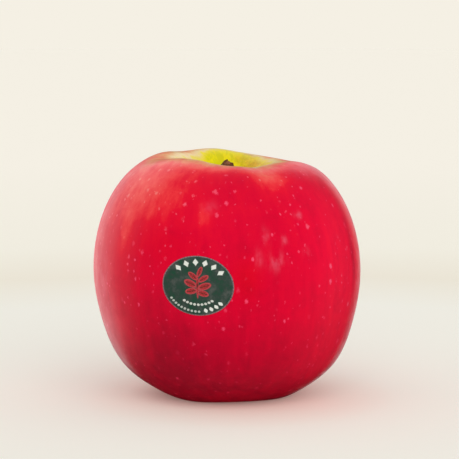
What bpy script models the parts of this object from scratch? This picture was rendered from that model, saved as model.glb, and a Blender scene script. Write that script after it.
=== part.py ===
"""A fresh red apple standing on its base.

The fruit is one solid: skin and flesh together, with the stem cavity on top, the calyx basin
below and five uneven lobes. The stem, the five dried sepals, the tuft of dried stamens and an
oval label are pieces of their own. Dimensions are in millimetres and angles in degrees, and
add_solid() turns them into metres. The frame has +Z up, its origin on the floor under the
middle of the fruit, and the front of the fruit towards -Y. An azimuth is measured from the
front, positive towards +X.
"""

import math

import bmesh
import bpy
import numpy as np

MM = 0.001
TOUCH_GAP = 0.3

# Fruit: half of its outline as (radius, height), from the cavity floor to the basin floor.
MERIDIAN = (
    (0.0, 55.0),
    (1.9, 55.6),
    (5.2, 59.6),
    (9.9, 65.4),
    (15.7, 69.2),
    (23.8, 68.6),
    (32.6, 60.7),
    (38.2, 47.0),
    (39.2, 35.5),
    (36.9, 21.9),
    (31.7, 10.1),
    (23.0, 2.9),
    (14.7, 0.0),
    (8.7, 2.4),
    (4.6, 6.6),
    (2.7, 9.0),
    (1.5, 10.9),
    (0.0, 11.4),
)
FRUIT_MID_HEIGHT = 35.5
FRUIT_SEGMENTS = 64
# Rows of faces along the outline: (end of the stretch as a share of its length, rows in it).
FRUIT_ROWS = ((0.20, 10), (0.66, 15), (0.80, 6), (0.90, 9), (1.0, 7))

# Lobes: (azimuth, height against a full lobe), round the shoulder and round the base.
TOP_LOBES = ((-44, 1.2), (66, 0.7), (154, 0.5), (195, 1.4), (-112, 1.3))
BASE_LOBES = ((-42, 0.5), (67, 0.5), (136, 0.25), (198, 0.45), (-112, 0.25))
LOBE_SHARPNESS = 7.0
RIM_RISE = 2.2
BASE_DROP = 1.2
WAIST_SWELL = 0.012
SHOULDER_TILT = 0.004
LEAN = 0.013
PAD_DEPTH = 0.3

# Stem: (height, radius, sideways, front to back) of each ring, and the sides of a ring.
STEM_RINGS = (
    (55.9, 1.35, 0.0, 0.0),
    (56.8, 1.15, 0.0, 0.1),
    (59.2, 0.95, -0.2, 0.4),
    (62.2, 0.90, -0.5, 0.6),
    (64.8, 0.95, -0.5, 0.5),
    (66.5, 1.30, -0.2, 0.2),
    (67.6, 1.85, 0.0, 0.0),
    (68.2, 2.00, 0.1, 0.0),
    (68.8, 1.40, 0.1, 0.1),
)
STEM_SEGMENTS = 12

# Sepals: a ring of five tongues that start round the eye and curl away from it.
SEPAL_COUNT = 5
SEPAL_ROOT_RADIUS = 3.6
SEPAL_LENGTH = 6.4
SEPAL_WIDTH = 3.0
SEPAL_THICKNESS = 0.4
SEPAL_RINGS = 8
SEPAL_SEGMENTS = 8
SEPAL_START_TILT = 8.0
SEPAL_CURL = (62.0, 38.0, 75.0, 30.0, 54.0)
SEPAL_TURN = 14.0

# Stamens: a small disc in the eye with two rings of bristles and a middle style.
TUFT_RADIUS = 1.9
TUFT_SEGMENTS = 10
TUFT_TOP = 8.7
TUFT_THICKNESS = 0.5
TUFT_RING_WIDTH = 0.62
BRISTLE_LENGTHS = (2.6, 1.9, 3.0, 2.2, 2.8, 1.7, 2.4, 3.1, 2.0, 2.7)
BRISTLE_STEPS = 3
BRISTLE_TAPER = 0.62
BRISTLE_SPREAD = 0.35

# Label: an oval of film on the front of the fruit.
LABEL_WIDTH = 20.5
LABEL_HEIGHT = 16.7
LABEL_THICKNESS = 0.25
LABEL_AZIMUTH = -12.4
LABEL_SHARE = 0.495
LABEL_ROLL = -3.5
LABEL_RINGS = 4
LABEL_SEGMENTS = 32


def clear_scene():
    for obj in list(bpy.data.objects):
        bpy.data.objects.remove(obj, do_unlink=True)


def principled(name, srgb, roughness):
    """A plain material whose colour is given as it shows on a screen, 0 to 1."""
    material = bpy.data.materials.new(name)
    material.use_nodes = True
    shader = material.node_tree.nodes["Principled BSDF"]
    linear = [c / 12.92 if c <= 0.04045 else ((c + 0.055) / 1.055) ** 2.4 for c in srgb]
    shader.inputs["Base Color"].default_value = (*linear, 1.0)
    shader.inputs["Roughness"].default_value = roughness
    shader.inputs["Metallic"].default_value = 0.0
    return material


def add_solid(name, bm, material):
    """Turns a bmesh in millimetres into a smooth object in metres."""
    bmesh.ops.recalc_face_normals(bm, faces=bm.faces)
    bmesh.ops.scale(bm, vec=(MM, MM, MM), verts=bm.verts)
    mesh = bpy.data.meshes.new(name)
    bm.to_mesh(mesh)
    bm.free()
    mesh.materials.append(material)
    mesh.shade_smooth()
    obj = bpy.data.objects.new(name, mesh)
    bpy.context.scene.collection.objects.link(obj)
    return obj


def smooth_step(low, high, value):
    share = np.clip((value - low) / (high - low), 0.0, 1.0)
    return share * share * (3.0 - 2.0 * share)


def spline_bends(knots, values, start_slope, end_slope):
    """Second derivatives of the cubic spline through the values, with its end slopes given."""
    steps = np.diff(knots)
    slopes = np.diff(values) / steps
    count = len(knots)
    matrix = np.zeros((count, count))
    sides = np.zeros(count)
    matrix[0, :2] = 2 * steps[0], steps[0]
    matrix[-1, -2:] = steps[-1], 2 * steps[-1]
    sides[0] = 6 * (slopes[0] - start_slope)
    sides[-1] = 6 * (end_slope - slopes[-1])
    for i in range(1, count - 1):
        matrix[i, i - 1 : i + 2] = steps[i - 1], 2 * (steps[i - 1] + steps[i]), steps[i]
        sides[i] = 6 * (slopes[i] - slopes[i - 1])
    return np.linalg.solve(matrix, sides)


def spline_values(knots, values, bends, where):
    i = np.clip(np.searchsorted(knots, where) - 1, 0, len(knots) - 2)
    step = knots[i + 1] - knots[i]
    after = (where - knots[i]) / step
    before = 1.0 - after
    cubic = (before**3 - before) * bends[i] + (after**3 - after) * bends[i + 1]
    return before * values[i] + after * values[i + 1] + cubic * step * step / 6.0


def meridian(share):
    """(radius, height) at a share of the outline's length, 0 in the cavity to 1 in the basin."""
    points = np.array(MERIDIAN)
    chords = np.linalg.norm(np.diff(points, axis=0), axis=1)
    knots = np.concatenate([[0.0], np.cumsum(chords)])
    where = np.asarray(share, float) * knots[-1]
    radii = spline_bends(knots, points[:, 0], 1.0, -1.0)
    heights = spline_bends(knots, points[:, 1], 0.0, 0.0)
    radius = spline_values(knots, points[:, 0], radii, where)
    height = spline_values(knots, points[:, 1], heights, where)
    return np.maximum(radius, 0.0), height


def lobe_wave(azimuth, lobes):
    """How far the lobes stand out at an azimuth in radians, averaging nought all the way round."""
    peaks = 0.0
    for at, size in lobes:
        peaks = peaks + size * np.exp(LOBE_SHARPNESS * (np.cos(azimuth - math.radians(at)) - 1))
    mean = sum(size for _, size in lobes) * math.exp(-LOBE_SHARPNESS) * np.i0(LOBE_SHARPNESS)
    return peaks - mean


def lobed(radius, azimuth, height):
    """Moves a point of the turned shape to its place on the lobed, slightly leaning fruit."""
    top = lobe_wave(azimuth, TOP_LOBES)
    base = lobe_wave(azimuth, BASE_LOBES)
    at_rim = np.exp(-(((radius - 18.0) / 9.0) ** 2)) * smooth_step(44.0, 60.0, height)
    at_base = np.exp(-(((radius - 16.0) / 8.0) ** 2)) * smooth_step(22.0, 6.0, height)
    swollen = radius * (1.0 + WAIST_SWELL * top * smooth_step(0.0, 38.0, radius))
    x = swollen * np.sin(azimuth)
    y = -swollen * np.cos(azimuth)
    z = height + RIM_RISE * top * at_rim - BASE_DROP * base * at_base
    z = z - SHOULDER_TILT * x * smooth_step(30.0, 66.0, height)
    x = x - LEAN * (z - FRUIT_MID_HEIGHT)
    return np.stack(np.broadcast_arrays(x, y, z), axis=-1)


def standing_shift():
    """The move that centres the fruit on the origin and sets its base pads on the floor."""
    share = np.linspace(0.0, 1.0, 400)[:, None]
    azimuth = np.linspace(0.0, 2 * math.pi, 360, endpoint=False)[None, :]
    radius, height = meridian(share)
    points = lobed(radius, azimuth, height).reshape(-1, 3)
    low, high = points.min(axis=0), points.max(axis=0)
    return np.array([-(low[0] + high[0]) / 2, -(low[1] + high[1]) / 2, -low[2] - PAD_DEPTH])


SHIFT = standing_shift()


def skin_point(share, azimuth):
    """A point of the finished skin. The floor flattens whatever would reach below it."""
    radius, height = meridian(share)
    point = lobed(radius, azimuth, height) + SHIFT
    point[..., 2] = np.maximum(point[..., 2], 0.0)
    return point


def skin_normal(share, azimuth):
    step = 1e-3
    down = skin_point(share + step, azimuth) - skin_point(share - step, azimuth)
    round_it = skin_point(share, azimuth + step) - skin_point(share, azimuth - step)
    normal = np.cross(down, round_it)
    return normal / np.linalg.norm(normal, axis=-1, keepdims=True)


def row_shares():
    shares = [0.0]
    for end, rows in FRUIT_ROWS:
        shares.extend(np.linspace(shares[-1], end, rows + 1)[1:])
    return np.array(shares)


def skin_rows(bm, shares):
    """One ring of vertices for each share, with a single vertex where the ring is on the axis."""
    angles = np.linspace(0.0, 2 * math.pi, FRUIT_SEGMENTS, endpoint=False)
    rows = []
    for share in shares:
        at_pole = share in (0.0, 1.0)
        azimuths = angles[:1] if at_pole else angles
        rows.append([bm.verts.new(p) for p in skin_point(share, azimuths)])
    return rows


def join_rings(bm, first, second):
    """Faces between two rings of vertices, either of which may be a single point."""
    count = max(len(first), len(second))
    for i in range(count):
        j = (i + 1) % count
        if len(first) == 1:
            bm.faces.new((first[0], second[i], second[j]))
        elif len(second) == 1:
            bm.faces.new((first[i], second[0], first[j]))
        else:
            bm.faces.new((first[i], second[i], second[j], first[j]))


def loft(rings):
    """A closed solid through rings of points, with both ends filled."""
    bm = bmesh.new()
    rows = [[bm.verts.new(point) for point in ring] for ring in rings]
    for first, second in zip(rows, rows[1:]):
        join_rings(bm, first, second)
    for end in (rows[0], rows[-1]):
        if len(end) > 1:
            bm.faces.new(end)
    return bm


def make_fruit(material):
    bm = bmesh.new()
    rows = skin_rows(bm, row_shares())
    for first, second in zip(rows, rows[1:]):
        join_rings(bm, first, second)
    return add_solid("apple_body", bm, material)


def make_stem(material):
    angles = np.linspace(0.0, 2 * math.pi, STEM_SEGMENTS, endpoint=False)
    centre_x, centre_y = skin_point(0.0, 0.0)[:2]
    rings = []
    for height, radius, sideways, backwards in STEM_RINGS:
        x = centre_x + sideways + radius * np.cos(angles)
        y = centre_y + backwards + radius * np.sin(angles)
        rings.append(np.column_stack([x, y, np.full(STEM_SEGMENTS, height)]))
    return add_solid("stem", loft(rings), material)


def sepal_rings(azimuth, curl):
    """Flat oval rings along a tongue that drops from the basin wall and bends outwards."""
    across = np.array([math.cos(azimuth), math.sin(azimuth), 0.0])
    outwards = np.array([math.sin(azimuth), -math.cos(azimuth), 0.0])
    eye = skin_point(1.0, 0.0)
    place = np.array([eye[0], eye[1], 0.0]) + SEPAL_ROOT_RADIUS * outwards
    place[2] = basin_height(SEPAL_ROOT_RADIUS, azimuth) - TOUCH_GAP - SEPAL_THICKNESS / 2
    step = SEPAL_LENGTH / SEPAL_RINGS
    angles = np.linspace(0.0, 2 * math.pi, SEPAL_SEGMENTS, endpoint=False)
    rings = []
    for i in range(SEPAL_RINGS + 1):
        share = i / SEPAL_RINGS
        tilt = math.radians(SEPAL_START_TILT + curl * share)
        along = math.sin(tilt) * outwards - math.cos(tilt) * np.array([0.0, 0.0, 1.0])
        through = np.cross(along, across)
        half_width = SEPAL_WIDTH / 2 * (0.12 + 0.88 * math.sqrt(1 - share**1.6))
        half_thickness = SEPAL_THICKNESS / 2 * (1.0 - 0.4 * share)
        flat = np.outer(half_width * np.cos(angles), across)
        thick = np.outer(half_thickness * np.sin(angles), through)
        rings.append(place + flat + thick)
        place = place + step * along
    return rings


def basin_height(radius, azimuth):
    """Height of the calyx basin's wall at a distance from the axis."""
    shares = np.linspace(0.88, 1.0, 241)
    radii, _ = meridian(shares)
    share = np.interp(radius, radii[::-1], shares[::-1])
    return skin_point(share, azimuth)[2]


def make_sepals(material):
    for i, curl in enumerate(SEPAL_CURL):
        azimuth = 2 * math.pi * i / SEPAL_COUNT + math.radians(SEPAL_TURN)
        add_solid(f"sepal_{i + 1}", loft(sepal_rings(azimuth, curl)), material)


def grow_bristle(bm, face, length, outwards):
    """Extrudes a face down in tapering steps that lean outwards."""
    for step in range(BRISTLE_STEPS):
        made = bmesh.ops.extrude_discrete_faces(bm, faces=[face])["faces"]
        face = made[0]
        centre = face.calc_center_median()
        lean = BRISTLE_SPREAD * (step + 1) / BRISTLE_STEPS
        move = (outwards * lean).to_3d() * length / BRISTLE_STEPS
        move.z = -length / BRISTLE_STEPS
        for vert in face.verts:
            vert.co = centre + (vert.co - centre) * BRISTLE_TAPER + move


def make_stamens(material):
    bm = bmesh.new()
    bmesh.ops.create_circle(bm, cap_ends=True, radius=TUFT_RADIUS, segments=TUFT_SEGMENTS)
    lower = bm.faces[:][0]
    made = bmesh.ops.extrude_face_region(bm, geom=[lower], use_keep_orig=True)["geom"]
    upper_verts = [item for item in made if isinstance(item, bmesh.types.BMVert)]
    bmesh.ops.translate(bm, vec=(0.0, 0.0, TUFT_THICKNESS), verts=upper_verts)
    bmesh.ops.recalc_face_normals(bm, faces=bm.faces)
    lower = min(bm.faces, key=lambda face: face.calc_center_median().z)
    bristle_faces = []
    for _ in range(2):
        ring = bmesh.ops.inset_region(bm, faces=[lower], thickness=TUFT_RING_WIDTH)["faces"]
        bristle_faces.extend(ring)
        lower = min(
            (face for face in bm.faces if face.calc_center_median().xy.length < 0.1),
            key=lambda face: face.calc_center_median().z,
        )
    bmesh.ops.inset_individual(bm, faces=bristle_faces, thickness=0.05)
    for i, face in enumerate(bristle_faces):
        length = BRISTLE_LENGTHS[i * 3 % len(BRISTLE_LENGTHS)]
        grow_bristle(bm, face, length, face.calc_center_median().xy.normalized())
    grow_bristle(bm, lower, max(BRISTLE_LENGTHS), lower.calc_center_median().xy)
    eye = skin_point(1.0, 0.0)
    bmesh.ops.translate(bm, vec=(eye[0], eye[1], TUFT_TOP - TUFT_THICKNESS), verts=bm.verts)
    return add_solid("stamen_tuft", bm, material)


def label_point(across, up, lift):
    """A point of the label, laid over the skin at a distance across and up from its middle."""
    roll = math.radians(LABEL_ROLL)
    level = across * math.cos(roll) - up * math.sin(roll)
    rise = across * math.sin(roll) + up * math.cos(roll)
    points = np.array(MERIDIAN)
    length = np.linalg.norm(np.diff(points, axis=0), axis=1).sum()
    share = LABEL_SHARE - rise / length
    radius, _ = meridian(share)
    azimuth = math.radians(LABEL_AZIMUTH) + level / radius
    return skin_point(share, azimuth) + lift * skin_normal(share, azimuth)


def make_label(material):
    bm = bmesh.new()
    sides = []
    angles = np.linspace(0.0, 2 * math.pi, LABEL_SEGMENTS, endpoint=False)
    for lift in (TOUCH_GAP, TOUCH_GAP + LABEL_THICKNESS):
        rows = [[bm.verts.new(label_point(0.0, 0.0, lift))]]
        for ring in range(1, LABEL_RINGS + 1):
            size = ring / LABEL_RINGS
            across = size * LABEL_WIDTH / 2 * np.cos(angles)
            up = size * LABEL_HEIGHT / 2 * np.sin(angles)
            rows.append([bm.verts.new(p) for p in label_point(across, up, lift)])
        for first, second in zip(rows, rows[1:]):
            join_rings(bm, first, second)
        sides.append(rows[-1])
    join_rings(bm, *sides)
    return add_solid("label", bm, material)


def main():
    clear_scene()
    make_fruit(principled("apple_skin", (0.82, 0.02, 0.17), 0.35))
    make_stem(principled("stem_wood", (0.36, 0.25, 0.15), 0.75))
    dried = principled("dried_calyx", (0.33, 0.26, 0.16), 0.85)
    make_sepals(dried)
    make_stamens(principled("dried_stamens", (0.22, 0.16, 0.10), 0.9))
    make_label(principled("label_film", (0.18, 0.28, 0.25), 0.45))


main()
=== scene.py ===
"""Looks of a fresh red apple: its skin, stem, dried calyx and label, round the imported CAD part.

Shapes are worked out in millimetres and add_mesh() turns them into metres. An azimuth is
measured from the front of the fruit (-Y), positive towards +X. A share is how far along the
fruit's outline a point lies, from 0 on the floor of the stem cavity to 1 in the calyx.
"""

import math

import bpy
import numpy as np
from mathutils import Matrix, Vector, noise


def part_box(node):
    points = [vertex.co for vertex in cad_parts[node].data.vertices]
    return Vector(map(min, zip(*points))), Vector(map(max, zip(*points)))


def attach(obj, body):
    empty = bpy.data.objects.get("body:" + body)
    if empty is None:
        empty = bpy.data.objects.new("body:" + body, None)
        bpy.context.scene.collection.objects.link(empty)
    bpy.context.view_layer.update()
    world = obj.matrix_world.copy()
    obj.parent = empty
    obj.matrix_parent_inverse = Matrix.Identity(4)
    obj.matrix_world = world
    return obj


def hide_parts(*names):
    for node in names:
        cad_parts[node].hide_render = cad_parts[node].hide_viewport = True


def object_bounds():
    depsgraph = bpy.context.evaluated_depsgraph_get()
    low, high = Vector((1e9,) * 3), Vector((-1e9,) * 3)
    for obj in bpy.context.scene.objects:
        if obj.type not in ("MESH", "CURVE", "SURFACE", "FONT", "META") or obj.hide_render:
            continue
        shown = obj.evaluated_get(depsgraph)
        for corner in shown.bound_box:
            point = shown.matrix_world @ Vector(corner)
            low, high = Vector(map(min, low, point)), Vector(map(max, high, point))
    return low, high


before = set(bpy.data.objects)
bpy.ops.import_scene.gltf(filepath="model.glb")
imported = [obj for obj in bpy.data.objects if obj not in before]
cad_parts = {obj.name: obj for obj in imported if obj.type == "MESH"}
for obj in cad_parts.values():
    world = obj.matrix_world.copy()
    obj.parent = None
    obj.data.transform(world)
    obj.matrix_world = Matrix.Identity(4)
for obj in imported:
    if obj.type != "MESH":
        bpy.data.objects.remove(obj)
CAD_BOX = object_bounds()

MM = 0.001
TURN = 2 * math.pi
BODY = "root"

# ---------------------------------------------------------------- the fruit's shape

# The fruit's outline, (radius, height), from the stem cavity's floor out and down to the eye.
MERIDIAN = (
    (0.0, 55.0),
    (1.9, 55.6),
    (5.2, 59.6),
    (9.9, 65.4),
    (15.7, 69.2),
    (23.8, 68.6),
    (32.6, 60.7),
    (38.2, 47.0),
    (39.2, 35.5),
    (36.9, 21.9),
    (31.7, 10.1),
    (23.0, 2.9),
    (14.7, 0.0),
    (8.7, 2.4),
    (4.6, 6.6),
    (2.7, 9.0),
    (1.5, 10.9),
    (0.0, 11.4),
)
FRUIT_MID_HEIGHT = 35.5
# Lobes round the rim and under the base: (azimuth, how large against the others).
TOP_LOBES = ((-44, 1.2), (66, 0.7), (154, 0.5), (195, 1.4), (-112, 1.3))
BASE_LOBES = ((-42, 0.5), (67, 0.5), (136, 0.25), (198, 0.45), (-112, 0.25))
LOBE_SHARPNESS = 7.0
# Millimetres that a lobe of size 1 stands up at the rim or down at the base, and the share of the
# radius that it swells by at the waist.
RIM_RISE = 2.2
BASE_DROP = 1.2
WAIST_SWELL = 0.012
# Millimetres down, or to the left, for each millimetre to the right, or up.
SHOULDER_TILT = 0.004
LEAN = 0.013
CREST_RISE = 0.62
FRUIT_ROWS = 216
FRUIT_SEGMENTS = 400

# Shallow ridges and dents of the skin: (millimetres, waves round, waves along, phase).
RIPPLES = (
    (0.11, 3, 1.4, 0.4),
    (0.09, 5, 0.6, 1.9),
    (0.06, 8, 1.1, 4.1),
    (0.05, 13, 0.4, 2.6),
    (0.03, 21, 0.7, 0.9),
)


def smooth_step(low, high, value):
    share = np.clip((value - low) / (high - low), 0.0, 1.0)
    return share * share * (3.0 - 2.0 * share)


def spline_bends(knots, values, start_slope, end_slope):
    """Second derivatives of the cubic spline through the values, with its end slopes given."""
    steps = np.diff(knots)
    slopes = np.diff(values) / steps
    count = len(knots)
    matrix = np.zeros((count, count))
    sides = np.zeros(count)
    matrix[0, :2] = 2 * steps[0], steps[0]
    matrix[-1, -2:] = steps[-1], 2 * steps[-1]
    sides[0] = 6 * (slopes[0] - start_slope)
    sides[-1] = 6 * (end_slope - slopes[-1])
    for i in range(1, count - 1):
        matrix[i, i - 1 : i + 2] = steps[i - 1], 2 * (steps[i - 1] + steps[i]), steps[i]
        sides[i] = 6 * (slopes[i] - slopes[i - 1])
    return np.linalg.solve(matrix, sides)


def spline_values(knots, values, bends, where):
    i = np.clip(np.searchsorted(knots, where) - 1, 0, len(knots) - 2)
    step = knots[i + 1] - knots[i]
    after = (where - knots[i]) / step
    before = 1.0 - after
    cubic = (before**3 - before) * bends[i] + (after**3 - after) * bends[i + 1]
    return before * values[i] + after * values[i + 1] + cubic * step * step / 6.0


OUTLINE = np.array(MERIDIAN)
KNOTS = np.concatenate([[0.0], np.cumsum(np.linalg.norm(np.diff(OUTLINE, axis=0), axis=1))])
OUTLINE_LENGTH = KNOTS[-1]
RADIUS_BENDS = spline_bends(KNOTS, OUTLINE[:, 0], 1.0, -1.0)
HEIGHT_BENDS = spline_bends(KNOTS, OUTLINE[:, 1], 0.0, 0.0)


def meridian(share):
    """(radius, height) at a share of the outline's length."""
    where = np.asarray(share, float) * OUTLINE_LENGTH
    radius = spline_values(KNOTS, OUTLINE[:, 0], RADIUS_BENDS, where)
    height = spline_values(KNOTS, OUTLINE[:, 1], HEIGHT_BENDS, where)
    return np.maximum(radius, 0.0), height


def lobe_wave(azimuth, lobes):
    """How far the lobes stand out at an azimuth in radians, averaging nought all the way round."""
    peaks = 0.0
    for at, size in lobes:
        peaks = peaks + size * np.exp(LOBE_SHARPNESS * (np.cos(azimuth - math.radians(at)) - 1))
    mean = sum(size for _, size in lobes) * math.exp(-LOBE_SHARPNESS) * np.i0(LOBE_SHARPNESS)
    return peaks - mean


def lobed(radius, azimuth, height):
    """Moves a point of the turned shape to its place on the lobed, slightly leaning fruit."""
    top = lobe_wave(azimuth, TOP_LOBES)
    base = lobe_wave(azimuth, BASE_LOBES)
    at_rim = np.exp(-(((radius - 18.0) / 9.0) ** 2)) * smooth_step(44.0, 60.0, height)
    at_base = np.exp(-(((radius - 16.0) / 8.0) ** 2)) * smooth_step(22.0, 6.0, height)
    swollen = radius * (1.0 + WAIST_SWELL * top * smooth_step(0.0, 38.0, radius))
    x = swollen * np.sin(azimuth)
    y = -swollen * np.cos(azimuth)
    z = height + RIM_RISE * top * at_rim - BASE_DROP * base * at_base
    z = z - SHOULDER_TILT * x * smooth_step(30.0, 66.0, height)
    x = x - LEAN * (z - FRUIT_MID_HEIGHT)
    return np.stack(np.broadcast_arrays(x, y, z), axis=-1)


def ripple(share, azimuth):
    """How far the grown skin stands out from the smooth shape, in millimetres."""
    total = 0.0
    for size, around, along, phase in RIPPLES:
        total = total + size * np.sin(around * azimuth + phase + TURN * along * share)
    return total * smooth_step(0.02, 0.2, share) * smooth_step(0.84, 0.7, share)


def front_rise(share, azimuth):
    """The front shoulder between two lobes stands a little higher than the smooth shape."""
    degrees = np.degrees((azimuth + math.pi) % TURN - math.pi)
    side = smooth_step(-42.0, -20.0, degrees) * smooth_step(27.0, 7.0, degrees)
    return CREST_RISE * side * smooth_step(0.11, 0.19, share) * smooth_step(0.31, 0.21, share)


def place_of_fruit():
    """The move that puts the smooth shape into the box of the CAD fruit."""
    share = np.linspace(0.0, 1.0, 400)[:, None]
    azimuth = np.linspace(0.0, TURN, 360, endpoint=False)[None, :]
    radius, height = meridian(share)
    points = lobed(radius, azimuth, height).reshape(-1, 3)
    low, high = (np.array(corner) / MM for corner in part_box("apple_body"))
    middle = (points.min(axis=0) + points.max(axis=0)) / 2
    move = (low + high) / 2 - middle
    move[2] = high[2] - points[:, 2].max()
    return move


SHIFT = place_of_fruit()


def skin_point(share, azimuth):
    """A point of the finished skin. The floor flattens whatever would reach below it."""
    radius, height = meridian(share)
    point = lobed(radius + ripple(share, azimuth), azimuth, height) + SHIFT
    point[..., 2] = np.maximum(point[..., 2] + front_rise(share, azimuth), 0.0)
    return point


def skin_normal(share, azimuth):
    step = 1e-3
    down = skin_point(share + step, azimuth) - skin_point(share - step, azimuth)
    round_it = skin_point(share, azimuth + step) - skin_point(share, azimuth - step)
    normal = np.cross(down, round_it)
    return normal / np.linalg.norm(normal, axis=-1, keepdims=True)


# ---------------------------------------------------------------- making meshes


def add_mesh(name, points, faces, material):
    """A smooth mesh object from points in millimetres."""
    mesh = bpy.data.meshes.new(name)
    mesh.from_pydata((np.asarray(points) * MM).tolist(), [], faces)
    mesh.materials.append(material)
    mesh.validate()
    mesh.shade_smooth()
    obj = bpy.data.objects.new(name, mesh)
    bpy.context.scene.collection.objects.link(obj)
    return obj


def set_attribute(obj, name, values):
    """Stores a number or a vector for each vertex, for the material to read."""
    values = np.asarray(values, np.float32)
    kind, field = ("FLOAT", "value") if values.ndim == 1 else ("FLOAT_VECTOR", "vector")
    layer = obj.data.attributes.new(name, kind, "POINT")
    layer.data.foreach_set(field, values.ravel())


def grid_faces(rows, columns, first=0):
    """Quads between rings of points that lie one after the other."""
    faces = []
    for row in range(rows - 1):
        for i in range(columns):
            j = (i + 1) % columns
            a, b = first + row * columns, first + (row + 1) * columns
            faces.append((a + i, b + i, b + j, a + j))
    return faces


def loft(rings):
    """Points and faces of a closed solid through equal rings, with a middle point at each end."""
    rings = np.asarray(rings)
    count, columns = rings.shape[:2]
    points = np.vstack([rings.reshape(-1, 3), rings[0].mean(axis=0), rings[-1].mean(axis=0)])
    faces = grid_faces(count, columns)
    start, end = count * columns, count * columns + 1
    last = (count - 1) * columns
    for i in range(columns):
        j = (i + 1) % columns
        faces.append((i, j, start))
        faces.append((last + j, last + i, end))
    return points, faces


def joined(parts):
    """One set of points and faces from several."""
    points, faces = [], []
    first = 0
    for part_points, part_faces in parts:
        points.append(part_points)
        faces.extend(tuple(first + corner for corner in face) for face in part_faces)
        first += len(part_points)
    return np.vstack(points), faces


def bumps(points, size, seed):
    """Smooth noise from -1 to 1 at each point; size is the bumps' width in millimetres."""
    return np.array([noise.noise(Vector(p) / size + Vector((seed, 0, 0))) for p in points])


# ---------------------------------------------------------------- making materials


def srgb(red, green, blue):
    """A linear colour from the 0 to 255 values that a screen shows."""
    shown = np.array([red, green, blue]) / 255
    linear = np.where(shown <= 0.04045, shown / 12.92, ((shown + 0.055) / 1.055) ** 2.4)
    return (*linear.tolist(), 1.0)


def grey(value):
    return (value, value, value, 1.0)


class Nodes:
    """Short words for building one material's node tree."""

    def __init__(self, name, **principled):
        self.material = bpy.data.materials.new(name)
        self.material.use_nodes = True
        self.tree = self.material.node_tree
        self.shader = self.tree.nodes["Principled BSDF"]
        for socket, value in principled.items():
            self.put(self.shader.inputs[socket.replace("_", " ")], value)

    def put(self, socket, value):
        if isinstance(value, bpy.types.NodeSocket):
            self.tree.links.new(value, socket)
        else:
            socket.default_value = value

    def add(self, kind, settings=None, **inputs):
        node = self.tree.nodes.new("ShaderNode" + kind)
        for name, value in (settings or {}).items():
            setattr(node, name, value)
        for socket, value in inputs.items():
            self.put(node.inputs[socket.replace("_", " ")], value)
        return node

    def math(self, operation, *values):
        node = self.add("Math", {"operation": operation})
        for socket, value in zip(node.inputs, values):
            self.put(socket, value)
        return node.outputs[0]

    def vector(self, operation, *values):
        node = self.add("VectorMath", {"operation": operation})
        for socket, value in zip(node.inputs, values):
            self.put(socket, value)
        return node.outputs["Vector"]

    def length(self, vector):
        node = self.add("VectorMath", {"operation": "LENGTH"})
        self.put(node.inputs[0], vector)
        return node.outputs["Value"]

    def attribute(self, name, output="Fac"):
        return self.add("Attribute", {"attribute_name": name}).outputs[output]

    def noise(self, place, scale, detail=2.0, roughness=0.5, distortion=0.0):
        return self.add(
            "TexNoise",
            Vector=place,
            Scale=scale,
            Detail=detail,
            Roughness=roughness,
            Distortion=distortion,
        )

    def fade(self, value, low, high, start=0.0, end=1.0):
        """A smooth step from start to end as the value goes from low to high."""
        node = self.add("MapRange", {"interpolation_type": "SMOOTHSTEP"}, Value=value)
        for socket, number in zip(("From Min", "From Max", "To Min", "To Max"), (low, high, start, end)):
            self.put(node.inputs[socket], number)
        return node.outputs["Result"]

    def ramp(self, value, stops, interpolation="LINEAR"):
        node = self.add("ValToRGB", Fac=value)
        node.color_ramp.interpolation = interpolation
        elements = node.color_ramp.elements
        while len(elements) < len(stops):
            elements.new(1.0)
        for element, (position, colour) in zip(elements, stops):
            element.position = position
            element.color = colour
        return node.outputs["Color"]

    def mix(self, share, first, second, blend="MIX"):
        node = self.add("Mix", {"data_type": "RGBA", "blend_type": blend})
        colours = [socket for socket in node.inputs if socket.type == "RGBA"]
        self.put(node.inputs["Factor"], share)
        self.put(colours[0], first)
        self.put(colours[1], second)
        return next(socket for socket in node.outputs if socket.type == "RGBA")

    def bump(self, height, distance, strength=1.0):
        node = self.add("Bump", Height=height, Distance=distance, Strength=strength)
        self.put(self.shader.inputs["Normal"], node.outputs["Normal"])


def millimetres(n):
    """Where a point of the piece is, in millimetres."""
    scaled = n.add("VectorMath", {"operation": "SCALE"}, Scale=1 / MM)
    n.put(scaled.inputs[0], n.add("TexCoord").outputs["Object"])
    return scaled.outputs["Vector"]


def finish_piece(piece, node):
    """Ties a piece to the body and stands it in for its CAD node."""
    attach(piece, BODY)
    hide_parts(node)


# ---------------------------------------------------------------- the skin

# How the skin's colour goes from bare ground colour, at 0, to the deepest blush, at 1. The stops beyond
# full blush are reached low on the fruit: deeper red there, partly painted shade.
BLUSH_RAMP = (
    (0.00, srgb(255, 242, 0)),
    (0.07, srgb(255, 236, 10)),
    (0.13, srgb(255, 234, 96)),
    (0.20, srgb(255, 230, 170)),
    (0.29, srgb(255, 204, 138)),
    (0.38, srgb(255, 158, 110)),
    (0.46, srgb(255, 118, 96)),
    (0.54, srgb(255, 86, 82)),
    (0.62, srgb(250, 55, 62)),
    (0.70, srgb(240, 12, 48)),
    (0.79, srgb(229, 0, 49)),
    (0.90, srgb(198, 0, 43)),
    (1.00, srgb(160, 0, 36)),
)
WAX_TINT = (1.0, 0.10, 0.15, 1.0)
# What the hue map multiplies the colour by, where it is above nought and where it is below. Below nought
# the red is also brighter, which on the left flank is painted light.
PURER_RED = (1.0, 1.0, 0.4, 1.0)
PINKER_RED_AND_PAINTED_LIGHT = (1.24, 1.0, 1.4, 1.0)
# The colour of the lenticels, by the blush of the skin round them.
LENTICEL_RAMP = (
    (0.05, srgb(250, 244, 176)),
    (0.35, srgb(255, 206, 160)),
    (0.60, srgb(255, 120, 118)),
    (0.80, srgb(255, 80, 122)),
    (1.00, srgb(240, 56, 100)),
)
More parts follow.
